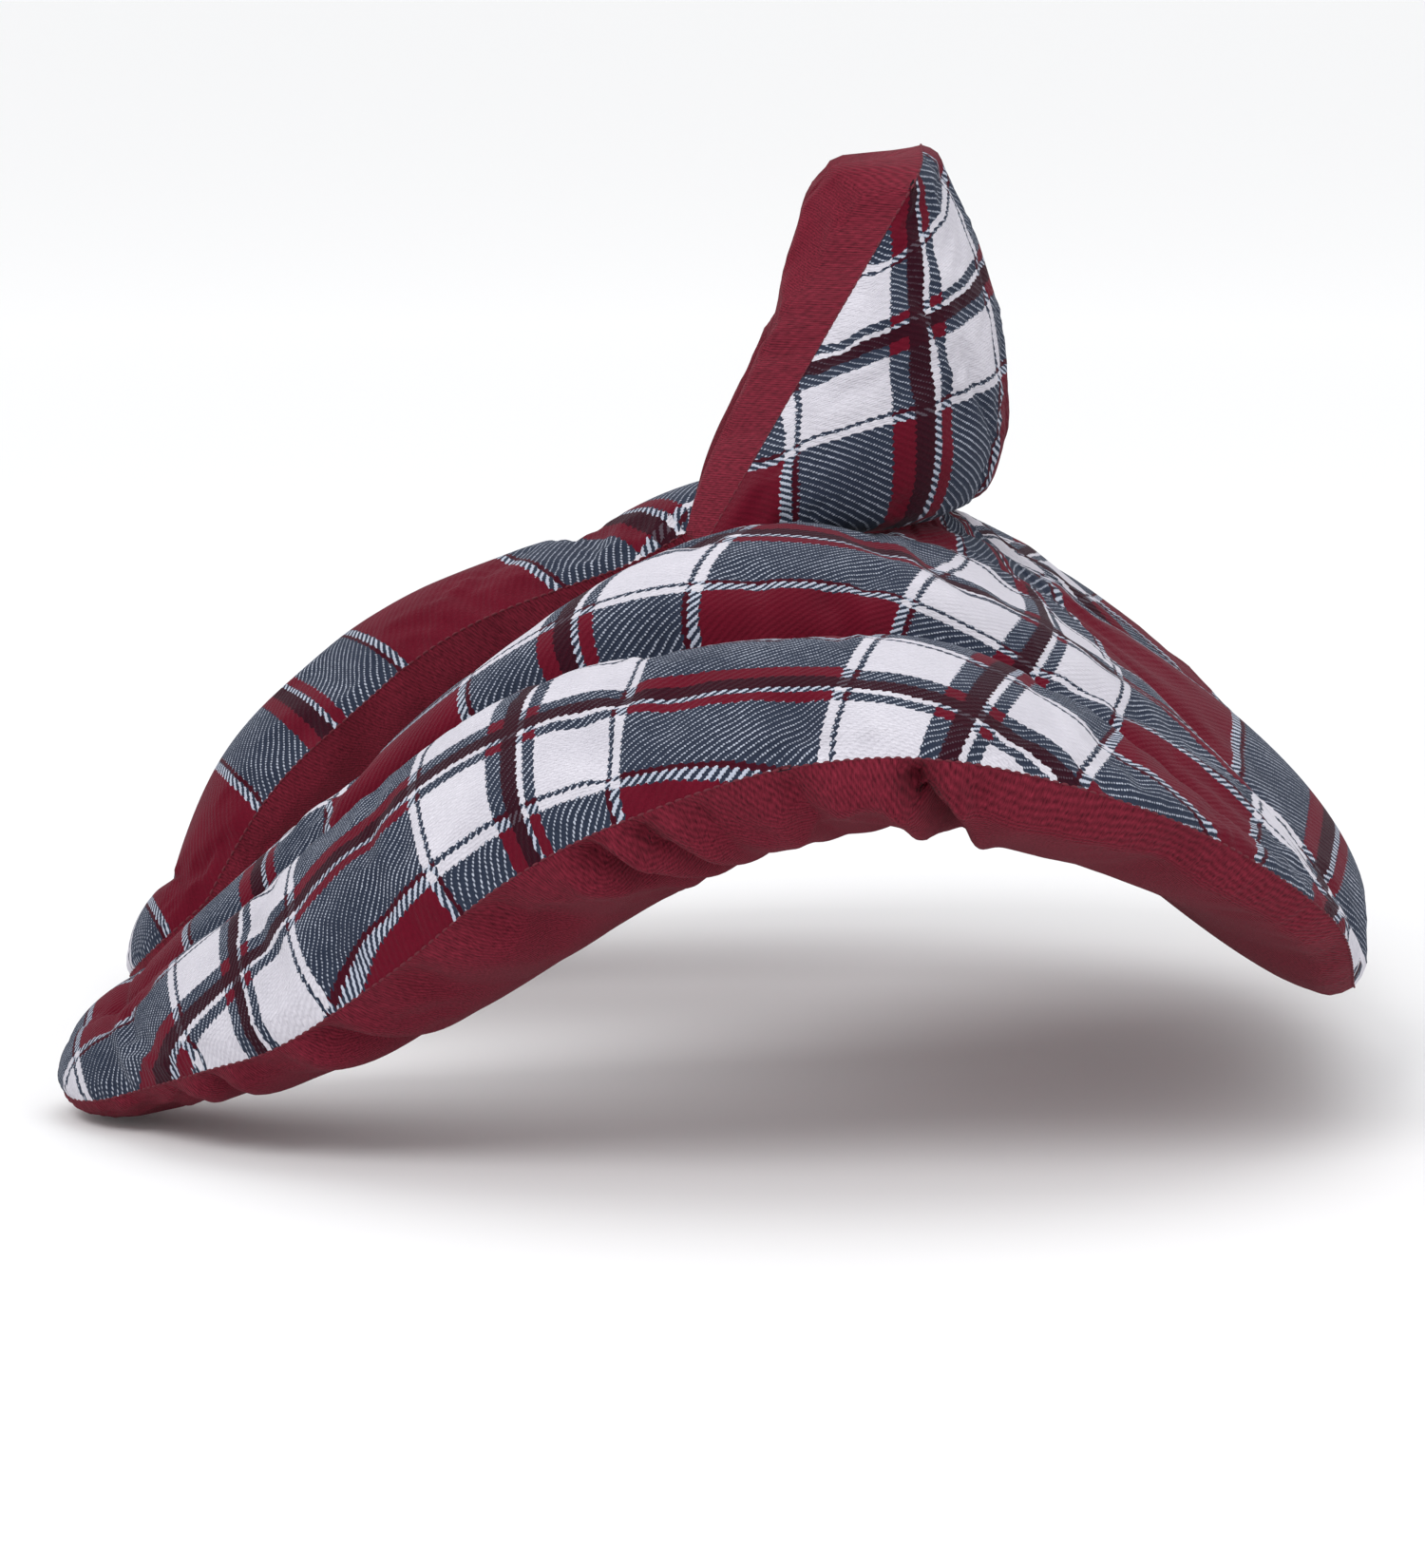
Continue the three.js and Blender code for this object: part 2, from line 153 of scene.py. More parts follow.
# Cloth: its thickness, the grids that are simulated, and their looseness (front and back) and hold. The pad
# is held more firmly near its fold, within a width of the fold's line and where the fold is this deep.
CLOTH = 1.0
GRID = 6.5  # spacing of the pad's rows at the rim
COLUMNS = 32
FINE_ROWS, FINE_COLUMNS = 4, 2  # rows and columns of the finished pad for each simulated one
SEAM_CROWDING = 0.35  # how much closer together the columns lie at the seams
COLLAR_ROWS, COLLAR_COLUMNS = 61, 29
PAD_LOOSENESS, COLLAR_LOOSENESS = (0.015, 0.11), (0.02, 0.04)
PAD_HOLD, CREASE_HOLD, HOLD_WIDTH, HOLD_DEPTH = 0.15, 0.7, 10.0, 12.0
COLLAR_HOLD = 0.2
SIMULATED_FRAMES = 22
# How much of the broad swelling is taken back, how many points wide it is, and the most a point may move.
BROAD_SHARE, BROAD_REACH, FOLD_LIMIT = 0.8, 5, 8.0

# Wrinkles beside the seams: their depth, length along the seam and reach into the cloth, then the length over
# which they grow from the seam, over which their reach changes, and over which they fade at the grid's ends.
GATHER_DEPTH, GATHER_LENGTH, GATHER_REACH = 0.8, 4.0, 7.0
GATHER_START, GATHER_WANDER, GATHER_END = 1.5, 17.0, 3.0
RIPPLE_WAVES, RIPPLE_SIZE = 7, 3.2  # waves in a ripple, and what brings their sum to about -1 to 1
PAD_SEEDS, COLLAR_SEEDS = (11, 17), (23, 29)  # of the wrinkles: top and under panel, outer and inner panel
# Folds of the underside: station on the rim, depth, width, length, and how far they lean towards the back.
TUCKS = [
    (6.38, 10, 5, 85, -36),
    (5.98, 9, 4.5, 78, -30),
    (5.6, 4.5, 4.5, 55, -14),
    (5.05, 6, 6, 80, -22),
    (4.35, 15, 5.5, 95, -62),
    (3.95, 3.5, 7, 70, -14),
    (7.25, 5, 10, 80, -30),
    (8.0, 3, 8, 70, -20),
    (8.75, 7, 5, 66, -20),
    (9.35, 3, 6, 45, -12),
    (10.0, 5.5, 4.5, 52, -12),
    (10.5, 3, 5, 35, -6),
    (3.0, 2.5, 14, 80, -10),
    (1.6, 2, 12, 60, -4),
    (-1.2, 2.5, 11, 60, 6),
    (-3.1, 5, 9, 80, 20),
    (-4.6, 9, 8, 90, 30),
    (-5.6, 6, 7, 70, 22),
    (-6.6, 7, 8, 75, 24),
    (-8.3, 5, 8, 60, 18),
    (-9.7, 4, 6.5, 45, 10),
]
TUCK_START = 4.0  # millimetres from the rim over which a fold sinks in
# A fold's section: how sharp its bottom is, and the height and place of the ridge on either side, in widths.
TUCK_SHARPNESS, TUCK_RIDGE, TUCK_RIDGE_PLACE = 1.4, 0.35, 2

# Filling: the gap between it and its covers, and the border columns and rows that it leaves out.
PAD_INSET, COLLAR_INSET, BORDER = 14.0, 13.0, 6
LEAST_FILLING = 0.1  # of the covers' distance, where they come too close for the gap
# Seam stitches, each a rounded length of thread.
STITCH_PITCH, STITCH_LENGTH, STITCH_RADIUS, STITCH_LIFT = 3.0, 2.4, 0.35, 0.15
STITCH_SIDES, STITCH_RINGS, STITCH_BOW = 6, 5, 0.6


# ---- Curves and surfaces ------------------------------------------------------------------------------


def along(values, k, odd=False):
    """Catmull-Rom through values at 0, 1, 2...; straight on before the first, mirrored past the last."""
    v = np.asarray(values, float)
    v = np.concatenate([[2 * v[0] - v[1]], v, [-v[-2] if odd else v[-2]]])
    k = np.asarray(k, float)
    i = np.clip(np.floor(k).astype(int), 0, len(v) - 4)
    f = k - i
    a, b, c, d = (v[i + n] for n in range(4))
    return b + 0.5 * f * (c - a + f * (2 * a - 5 * b + 4 * c - d + f * (3 * (b - c) + d - a)))


def points_along(points, k):
    columns = np.array(points, float).T
    return np.stack([along(column, k, odd=n == 0) for n, column in enumerate(columns)], -1)


def hump(x, fullness):
    """0 at 0 and 1, and 1 halfway."""
    return np.clip(4 * x * (1 - x), 0, 1) ** fullness


def smooth(x):
    """0 up to 0, 1 from 1 on, with a soft rise between."""
    x = np.clip(x, 0, 1)
    return x * x * (3 - 2 * x)


def unit(v):
    return v / (np.linalg.norm(v, axis=-1, keepdims=True) + 1e-12)


def pad_section(k):
    """Both seams, flat coordinates at both, and the padding's heights and skew, at station k.

    Stations below 0 lie round the arm's end.
    """
    row = np.clip(k, 0, None)
    turn = np.clip(-k, 0, 1) * np.pi / 2
    size, reach = np.cos(turn)[..., None], np.sin(turn)[..., None]
    neck, rim = (points_along([section[n] for section in PAD], row) for n in (2, 3))
    flat = []
    for n in (0, 1):
        lengths = along([section[n][0] for section in PAD], row)
        widths = along([section[n][1] for section in PAD], row, odd=True)
        flat.append(np.stack([lengths, widths], -1))
    middle, flat_middle = (neck + rim) / 2, (flat[0] + flat[1]) / 2
    neck, rim = (middle + (seam - middle) * size + reach * END_REACH for seam in (neck, rim))
    flat = [flat_middle + (f - flat_middle) * size - reach * [END_CLOTH, 0] for f in flat]
    top, under, skew = (along([section[n] for section in PAD], row) for n in (4, 5, 6))
    return neck, rim, flat[0], flat[1], top * size[..., 0], under * size[..., 0], skew


def crease_at(u):
    """Where the fold lies across the cloth, and its depth, at lengths u along it."""
    crease = np.array(CREASE, float)
    return (np.interp(u, crease[:, 0], crease[:, n]) for n in (1, 2))


def pad_surface(s, t, face):
    """Points and flat coordinates of the pad's top (face 1) or underside (-1), for arrays s and t."""
    side = np.where(s < 0, -1.0, 1.0)
    k = PAD_HALF - np.abs(s)
    neck, rim, flat_neck, flat_rim, top, under, skew = pad_section(k)
    across = t[..., None]
    flat = flat_neck + (flat_rim - flat_neck) * across
    before, after = pad_section(k - STEP), pad_section(k + STEP)
    forward = (after[0] + (after[1] - after[0]) * across) - (before[0] + (before[1] - before[0]) * across)
    normal = unit(np.cross(rim - neck, forward))
    line, depth = crease_at(flat[..., 0])
    dip = depth * np.exp(-np.abs(flat[..., 1] - line) / CREASE_WIDTH)
    above = top * hump(t**skew, TOP_FULLNESS) - dip * hump(t, CREASE_FULLNESS)
    height = above if face > 0 else -under * hump(t, UNDER_FULLNESS)
    points = neck + (rim - neck) * across + normal * height[..., None]
    grown, ended, ending = ROLL_SPAN
    taken = smooth(t / grown) * smooth((ended - t) / ending) * smooth(flat[..., 1] / BACK_FADE)
    flat[..., 1] -= ROLL_SLACK * depth * taken
    shift = smooth((RIGHT_SHIFT_START - k) / RIGHT_SHIFT_SPAN) * smooth((k + 1) / RIGHT_SHIFT_FADE)
    points = points + (shift * (side < 0))[..., None] * RIGHT_SHIFT
    points[..., 0] *= side
    flat[..., 1] *= side
    return points, flat


def collar_surface(s, q, face):
    """Points and flat coordinates of the collar's outside (face 1) or inside (-1), for arrays s and q."""
    side = np.where(s < 0, -1.0, 1.0)
    k = COLLAR_HALF - np.abs(s)
    up = q[..., None]

    def ruled(row):
        base = points_along([section[0] for section in COLLAR], row)
        crest = points_along([section[1] for section in COLLAR], row)
        return base + (crest - base) * up, crest - base

    points, rising = ruled(k)
    backward = unit(np.cross(rising, ruled(k - STEP)[0] - ruled(k + STEP)[0]))
    thin = 1 - (1 - np.clip(k / COLLAR_TAPER, 0, 1)) ** 2
    if face > 0:
        height = COLLAR_OUT * hump(q**OUT_SKEW, OUT_FULLNESS) * thin**OUT_THINNING
    else:
        share = COLLAR_FOOT + (1 - COLLAR_FOOT) * np.clip(q / COLLAR_WHOLE, 0, 1)
        height = COLLAR_IN * hump(q, IN_FULLNESS) * thin**IN_THINNING * share
        turn = np.clip((COLLAR_HALF - k - AHEAD_START) / AHEAD_SPAN, 0, 1)[..., None]
        backward = backward * (1 - turn) + turn * COLLAR_AHEAD
    points = points + backward * (face * height)[..., None]
    points[..., 0] *= side
    foot, top, tall = COLLAR_FLAT
    reach = np.abs(s) / COLLAR_HALF
    flat = np.stack([-side * (foot + (top - foot) * q) * reach, tall * q + COLLAR_RISE * reach**2], -1)
    return points, flat


def grid_normals(points):
    return unit(np.cross(np.gradient(points, axis=0), np.gradient(points, axis=1)))


# ---- Materials ----------------------------------------------------------------------------------------

TARTAN_REPEAT = 130.0
# Where each band of the tartan starts, and its kind: line, thin white, slate, white, thin slate.
TARTAN_BANDS = [
    (0.0, "line"),
    (2.6, "thin white"),
    (4.7, "slate"),
    (8.9, "white"),
    (32.6, "thin slate"),
    (34.4, "thin white"),
    (37.2, "slate"),
    (93.2, "thin white"),
    (96.0, "thin slate"),
    (97.8, "white"),
    (121.6, "slate"),
    (127.4, "line"),
]
# Each kind's whiteness, share of the maroon line, and mark of a thin stripe, as a ramp colour.
BAND_MASKS = {
    "white": (1, 0, 0),
    "thin white": (1, 0, 1),
    "slate": (0, 0, 0),
    "thin slate": (0, 0, 1),
    "line": (0, 1, 0),
}


def srgb(*values):
    """Colour from 0 to 255 values, as the linear colour that a shader takes."""
    scaled = [v / 255 for v in values]
    return tuple(v / 12.92 if v <= 0.04045 else ((v + 0.055) / 1.055) ** 2.4 for v in scaled) + (1.0,)


TWILL_PITCH, STEP_PITCH, KNIT_PITCH = 2.8, 1.25, 1.0  # of the flannel's ribs, broken threads and rows
BACKING_PITCH, BACKING_CROSS_PITCH = 1.0, 0.62
TARTAN_PHASE, COLLAR_PHASE = (34.0, 90.0), (-58.0, 86.0)  # where the repeat starts, along and across
WHITE_LOW, WHITE_HIGH = srgb(184, 181, 190), srgb(220, 217, 225)
SLATE_LOW, SLATE_HIGH = srgb(20, 27, 41), srgb(54, 62, 80)
THREAD_WHITE = srgb(178, 184, 198)
VELVET_LOW, VELVET_HIGH = srgb(62, 2, 18), srgb(116, 13, 38)
MAROON_LOW, MAROON_HIGH = srgb(22, 2, 11), srgb(60, 6, 27)
# The backing's own burgundy, made darker overall as painted shade for the underside and the collar's inside.
BACKING_WITH_SHADE_LOW, BACKING_WITH_SHADE_HIGH = srgb(42, 4, 14), srgb(134, 39, 57)
THREAD_LOW, THREAD_HIGH, THREAD_GRAIN = srgb(70, 14, 26), srgb(112, 34, 48), 900
FIBRE_LOW, FIBRE_HIGH, FIBRE_GRAIN = srgb(205, 203, 196), srgb(236, 235, 230), 240


class Nodes:
    """Short calls that add nodes to a material; values are sockets or numbers."""

    def __init__(self, name):
        self.material = bpy.data.materials.new(name)
        self.material.use_nodes = True
        self.tree = self.material.node_tree
        self.shader = self.tree.nodes["Principled BSDF"]

    def put(self, socket, value):
        if isinstance(value, bpy.types.NodeSocket):
            self.tree.links.new(value, socket)
        else:
            socket.default_value = value

    def math(self, operation, *values, clamp=False):
        node = self.tree.nodes.new("ShaderNodeMath")
        node.operation = operation
        node.use_clamp = clamp
        for n, value in enumerate(values):
            self.put(node.inputs[n], value)
        return node.outputs[0]

    def mix(self, share, a, b, blend="MIX"):
        node = self.tree.nodes.new("ShaderNodeMix")
        node.data_type = "RGBA"
        node.blend_type = blend
        self.put(node.inputs["Factor"], share)
        # The node's colour sockets A, B and Result.
        self.put(node.inputs[6], a)
        self.put(node.inputs[7], b)
        return node.outputs[2]

    def flat(self):
        """The cloth's flat coordinates in millimetres, along and across."""
        node = self.tree.nodes.new("ShaderNodeUVMap")
        node.uv_map = "cloth"
        split = self.tree.nodes.new("ShaderNodeSeparateXYZ")
        self.tree.links.new(node.outputs[0], split.inputs[0])
        return [self.math("MULTIPLY", split.outputs[n], 1 / MM) for n in (0, 1)]

    def vector(self, x, y):
        node = self.tree.nodes.new("ShaderNodeCombineXYZ")
        self.put(node.inputs[0], x)
        self.put(node.inputs[1], y)
        return node.outputs[0]

    def noise(self, vector, scale, detail=2.0, roughness=0.5):
        node = self.tree.nodes.new("ShaderNodeTexNoise")
        self.put(node.inputs["Vector"], vector)
        node.inputs["Scale"].default_value = scale
        node.inputs["Detail"].default_value = detail
        node.inputs["Roughness"].default_value = roughness
        return node.outputs["Fac"]

    def ramp(self, value, stops, interpolation="LINEAR"):
        node = self.tree.nodes.new("ShaderNodeValToRGB")
        node.color_ramp.interpolation = interpolation
        elements = node.color_ramp.elements
        while len(elements) < len(stops):
            elements.new(1.0)
        for element, (place, colour) in zip(elements, stops):
            element.position = place
            element.color = colour
        self.put(node.inputs[0], value)
        return node.outputs[0]

    def wave(self, value, pitch):
        """0 to 1 and back over each pitch."""
        turns = self.math("MULTIPLY", value, 2 * math.pi / pitch)
        return self.math("MULTIPLY_ADD", self.math("COSINE", turns), 0.5, 0.5)

    def clouded(self, colour, vector, scale, low, high):
        """Broad, soft changes of shade over a colour."""
        shade = self.ramp(self.noise(vector, scale, 3.0, 0.55), [(0.3, low), (0.7, high)])
        return self.mix(1.0, colour, shade, "MULTIPLY")

    def bump(self, height, distance):
        node = self.tree.nodes.new("ShaderNodeBump")
        node.inputs["Distance"].default_value = distance
        self.put(node.inputs["Height"], height)
        self.tree.links.new(node.outputs[0], self.shader.inputs["Normal"])


def tartan(name, phase):
    """Brushed flannel: burgundy where slate crosses slate, white where white crosses white, twill between."""
    n = Nodes(name)
    u, v = n.flat()
    raw = n.vector(u, v)
    fray_u = n.math("SUBTRACT", n.noise(raw, 0.9, 2.0), 0.5)
    fray_v = n.math("SUBTRACT", n.noise(n.vector(v, u), 0.9, 2.0), 0.5)
    # Twill: white threads show as broken diagonals on the slate, and cut teeth into every band's edge.
    diagonal = n.math("ADD", n.math("ADD", u, v), n.math("MULTIPLY", fray_u, 0.9))
    ribs = n.wave(diagonal, TWILL_PITCH)
    steps = n.wave(n.math("SUBTRACT", u, v), STEP_PITCH)
    teeth = n.math("SUBTRACT", ribs, 0.5)
    masks = []
    for value, fray, start in ((u, fray_u, phase[0]), (v, fray_v, phase[1])):
        wander = n.math("MULTIPLY_ADD", fray, 1.5, n.math("MULTIPLY", teeth, 0.55))
        shifted = n.math("ADD", n.math("SUBTRACT", value, start), wander)
        share = n.math("FRACT", n.math("DIVIDE", shifted, TARTAN_REPEAT))
        stops = [(place / TARTAN_REPEAT, (*BAND_MASKS[kind], 1)) for place, kind in TARTAN_BANDS]
        split = n.tree.nodes.new("ShaderNodeSeparateColor")
        n.put(split.inputs[0], n.ramp(share, stops, "CONSTANT"))
        masks.append(split.outputs)
    (white_u, line_u, thin_u), (white_v, line_v, thin_v) = ((m[0], m[1], m[2]) for m in masks)
    white_thin = n.math("MAXIMUM", n.math("MULTIPLY", thin_u, white_u), n.math("MULTIPLY", thin_v, white_v))
    patchy = n.noise(raw, 0.05, 3.0, 0.6)
    level = n.math("MULTIPLY_ADD", steps, 0.3, n.math("MULTIPLY", patchy, 0.45))
    level = n.math("ADD", n.math("ADD", ribs, level), n.math("MULTIPLY", white_thin, 0.42))
    level = n.math("ADD", level, n.math("MULTIPLY", fray_v, 0.5))
    threads = n.math("MULTIPLY", n.math("SUBTRACT", level, 1.22), 3.6, clamp=True)
    fuzz = n.noise(raw, 1.7, 3.0, 0.7)
    knit = n.wave(n.math("MULTIPLY_ADD", fray_u, 1.2, v), KNIT_PITCH)
    white = n.mix(n.math("MULTIPLY_ADD", knit, 0.35, n.math("MULTIPLY", fuzz, 0.7)), WHITE_LOW, WHITE_HIGH)
    slate = n.mix(fuzz, SLATE_LOW, SLATE_HIGH)
    slate_twill = n.mix(threads, slate, THREAD_WHITE)
    share = n.math("MULTIPLY_ADD", patchy, 0.3, n.math("MULTIPLY", fuzz, 0.7))
    burgundy = n.mix(share, VELVET_LOW, VELVET_HIGH)
    share = n.math("MULTIPLY_ADD", threads, 0.12, n.math("MULTIPLY", fuzz, 0.88))
    maroon = n.mix(share, MAROON_LOW, MAROON_HIGH)
    both = n.math("MULTIPLY", white_u, white_v)
    one = n.math("ABSOLUTE", n.math("SUBTRACT", white_u, white_v))
    dark = n.math("MAXIMUM", thin_u, thin_v)
    dark = n.math("MULTIPLY", dark, n.math("SUBTRACT", 1.0, n.math("MAXIMUM", white_u, white_v)))
    colour = n.mix(one, burgundy, slate_twill)
    colour = n.mix(both, colour, white)
    colour = n.mix(n.math("MULTIPLY", dark, 0.75), colour, maroon)
    line = n.math("MAXIMUM", line_u, line_v)
    colour = n.mix(n.math("MULTIPLY", line, n.math("MULTIPLY_ADD", threads, -0.1, 0.98)), colour, maroon)
    colour = n.clouded(colour, raw, 0.035, (0.92, 0.92, 0.93, 1), (1.06, 1.06, 1.06, 1))
    n.put(n.shader.inputs["Base Color"], colour)
    n.shader.inputs["Roughness"].default_value = 0.95
    n.shader.inputs["Sheen Weight"].default_value = 0.07
    n.shader.inputs["Sheen Roughness"].default_value = 0.4
    n.shader.inputs["Sheen Tint"].default_value = (0.72, 0.76, 0.86, 1)
    n.shader.inputs["Specular IOR Level"].default_value = 0.15
    nap = n.noise(raw, 1.1, 4.0, 0.7)
    height = n.math("MULTIPLY_ADD", ribs, 0.4, nap)
    n.bump(n.math("MULTIPLY_ADD", knit, n.math("MULTIPLY", both, 0.35), height), 0.0005)
    return n.material


def twill(name, dark, light):
    """Plain twill: fine slanting ribs with thread by thread changes of colour."""
    n = Nodes(name)
    u, v = n.flat()
    raw = n.vector(u, v)
    waver = n.math("SUBTRACT", n.noise(raw, 0.25, 2.0), 0.5)
    slant = n.math("ADD", n.math("MULTIPLY_ADD", u, 0.75, v), n.math("MULTIPLY", waver, 1.2))
    ribs = n.wave(slant, BACKING_PITCH)
    cross = n.wave(n.math("SUBTRACT", u, n.math("MULTIPLY", v, 0.3)), BACKING_CROSS_PITCH)
    grain = n.noise(raw, 1.3, 3.0, 0.65)
    speckle = n.math("MULTIPLY_ADD", n.math("SUBTRACT", grain, 0.5), 1.7, 0.4)
    share = n.math("MULTIPLY_ADD", ribs, 0.24, n.math("MULTIPLY", speckle, 0.85))
    share = n.math("MULTIPLY_ADD", cross, 0.12, share, clamp=True)
    colour = n.mix(share, dark, light)
    colour = n.clouded(colour, raw, 0.03, (0.92, 0.9, 0.9, 1), (1.08, 1.06, 1.06, 1))
    n.put(n.shader.inputs["Base Color"], colour)
    n.shader.inputs["Roughness"].default_value = 0.9
    n.shader.inputs["Sheen Weight"].default_value = 0.03
    n.shader.inputs["Sheen Roughness"].default_value = 0.45
    n.shader.inputs["Specular IOR Level"].default_value = 0.12
    n.bump(n.math("MULTIPLY_ADD", grain, 0.9, n.math("MULTIPLY", ribs, 0.8)), 0.0002)
    return n.material


def plain(name, dark, light, scale):
    """Thread or fibre: one colour with fine changes of shade."""
    n = Nodes(name)
    place = n.tree.nodes.new("ShaderNodeTexCoord").outputs["Object"]
    fibres = n.noise(place, scale, 3.0, 0.6)
    n.put(n.shader.inputs["Base Color"], n.mix(fibres, dark, light))
    n.shader.inputs["Roughness"].default_value = 0.9
    n.bump(fibres, 0.0004)
    return n.material


# ---- Camera, floor and light --------------------------------------------------------------------------


CAMERA_TARGET = Vector((0, -0.0216, -0.092))
CAMERA_AZIMUTH, CAMERA_ELEVATION, CAMERA_DISTANCE = 91.5, 9.0, 2.0
CAMERA_LENS, CAMERA_SENSOR = 139.6, 36.0
WORLD_COLOUR, WORLD_LIGHT = (0.985, 0.99, 1, 1), 0.95
LIGHT_TARGET = Vector((0, 0, -0.05))
FLOOR_SIZE = 30.0
# The floor is a little darker under the pillow than far away, between these distances in metres.
FLOOR_NEAR, FLOOR_FAR, FLOOR_FADE = (0.8, 0.8, 0.805, 1), (0.99, 0.99, 0.99, 1), (0.7, 3.0)
# Each light's name, place, diameter and power.
LIGHTS = [
    ("key", (1.5, -1.0, 1.9), 1.3, 26),
    ("fill", (1.7, 1.5, 0.8), 1.8, 4),
    ("top", (-0.4, 0.3, 2.1), 1.8, 12),
]


def add_camera():
    azimuth, elevation = math.radians(CAMERA_AZIMUTH), math.radians(CAMERA_ELEVATION)
    level = math.cos(elevation)
    offset = Vector((math.sin(azimuth) * level, -math.cos(azimuth) * level, math.sin(elevation)))
    data = bpy.data.cameras.new("camera")
    data.lens = CAMERA_LENS
    data.sensor_width = CAMERA_SENSOR
    camera = bpy.data.objects.new("camera", data)
    camera.location = CAMERA_TARGET + offset * CAMERA_DISTANCE
    camera.rotation_euler = (-offset).to_track_quat("-Z", "Y").to_euler()
    bpy.context.collection.objects.link(camera)
    bpy.context.scene.camera = camera


def add_light(name, place, size, power):
    data = bpy.data.lights.new(name, "AREA")
    data.shape = "DISK"
    data.size = size
    data.energy = power
    light = bpy.data.objects.new(name, data)
    light.location = place
    light.rotation_euler = (LIGHT_TARGET - Vector(place)).to_track_quat("-Z", "Y").to_euler()
    bpy.context.collection.objects.link(light)


def add_studio(floor_z):
    size = FLOOR_SIZE
    mesh = bpy.data.meshes.new("floor")
    corners = [(-size, -size, floor_z), (size, -size, floor_z), (size, size, floor_z), (-size, size, floor_z)]
    mesh.from_pydata(corners, [], [(0, 1, 2, 3)])
    floor = bpy.data.objects.new("floor", mesh)
    bpy.context.collection.objects.link(floor)
    n = Nodes("floor")
    far = n.tree.nodes.new("ShaderNodeVectorMath")
    far.operation = "LENGTH"
    n.put(far.inputs[0], n.tree.nodes.new("ShaderNodeTexCoord").outputs["Object"])
    start, end = FLOOR_FADE
    shade = n.ramp(n.math("DIVIDE", far.outputs["Value"], end), [(start / end, FLOOR_NEAR), (1, FLOOR_FAR)])
    n.put(n.shader.inputs["Base Color"], shade)
    n.shader.inputs["Roughness"].default_value = 0.9
    n.shader.inputs["Specular IOR Level"].default_value = 0.1
    mesh.materials.append(n.material)
    world = bpy.data.worlds.new("world")
    world.use_nodes = True
    background = world.node_tree.nodes["Background"]
    background.inputs["Color"].default_value = WORLD_COLOUR
    background.inputs["Strength"].default_value = WORLD_LIGHT
    bpy.context.scene.world = world
    bpy.context.scene.view_settings.view_transform = "Standard"
    for name, place, size, power in LIGHTS:
        add_light(name, place, size, power)


# ---- Grids of cloth -----------------------------------------------------------------------------------


def pad_rows():
    """Stations of the rows, evenly spaced along the rim."""
    fine = np.linspace(-PAD_HALF - END_STOP, PAD_HALF + END_STOP, RIM_SAMPLES)
    rim, _ = pad_surface(fine, np.ones_like(fine), 1)
    length = np.concatenate([[0], np.cumsum(np.linalg.norm(np.diff(rim, axis=0), axis=-1))])
    count = int(length[-1] / GRID) // 2 * 2
    return np.interp(np.linspace(0, length[-1], count + 1), length, fine)


def pad_grid(stations, face):
    across = np.linspace(0, 1, COLUMNS + 1)
    across = across - SEAM_CROWDING * np.sin(2 * np.pi * across) / (2 * np.pi)
    s, t = np.meshgrid(stations, across, indexing="ij")
    return pad_surface(s, t, face)


def finer(values, axes=(0, 1)):
    """A grid with one more row (axis 0) and column (axis 1) between each pair, on cubic curves."""
    for axis in axes:
        v = np.moveaxis(values, axis, 0)
        ends = np.concatenate([[2 * v[0] - v[1]], v, [2 * v[-1] - v[-2]]])
        middle = (9 * (ends[1:-2] + ends[2:-1]) - ends[:-3] - ends[3:]) / 16
        out = np.empty((2 * len(v) - 1, *v.shape[1:]))
        out[0::2], out[1::2] = v, middle
        values = np.moveaxis(out, 0, axis)
    return values


def grid_faces(index):
    """One face for each four neighbours in a grid of vertex numbers."""
    corners = (index[:-1, :-1], index[1:, :-1], index[1:, 1:], index[:-1, 1:])
    return np.stack(corners, -1).reshape(-1, 4)


def sheet_faces(count, width, side=1):
    """Faces of a closed sheet: its outside, its inside, numbered after it, and the edge between them."""
    index = np.arange(count * width).reshape(count, width)
    outer = grid_faces(index)
    outer = outer if side > 0 else outer[:, [0, 3, 2, 1]]
    ring = np.concatenate([index[:-1, 0], index[-1, :-1], index[:0:-1, -1], index[0, :0:-1]])
    following = np.roll(ring, -1)
    depth = count * width
    edge = np.stack([ring + depth, following + depth, following, ring], -1)
    edge = edge if side > 0 else edge[:, ::-1]
    return np.concatenate([outer, outer[:, ::-1] + depth, edge])


def add_object(name, vertices, faces, material):
    """A smooth object of vertices in metres."""
    mesh = bpy.data.meshes.new(name)
    mesh.from_pydata(vertices.tolist(), [], faces)
    mesh.polygons.foreach_set("use_smooth", [True] * len(faces))
    mesh.materials.append(material)
    obj = bpy.data.objects.new(name, mesh)
    bpy.context.collection.objects.link(obj)
    return obj


def shell(name, points, flat, normals, side, material, rows=slice(None)):
    """A cloth panel: the grid's outside, a layer inside it and the cut edge between them."""
    points, flat, normals = points[rows] * MM, flat[rows] * MM, normals[rows] * side
    inside = points - normals * CLOTH * MM
    vertices = np.concatenate([points.reshape(-1, 3), inside.reshape(-1, 3)])
    faces = sheet_faces(*points.shape[:2], side)
    obj = add_object(name, vertices, faces.tolist(), material)
    layer = obj.data.uv_layers.new(name="cloth")
    uv = np.concatenate([flat.reshape(-1, 2)] * 2)[faces.reshape(-1)]
    layer.data.foreach_set("uv", uv.reshape(-1).astype(np.float32))
    out = np.concatenate([normals.reshape(-1, 3), -normals.reshape(-1, 3)])
    obj.data.normals_split_custom_set_from_vertices(out.tolist())
    return obj


# ---- Cloth simulation ---------------------------------------------------------------------------------


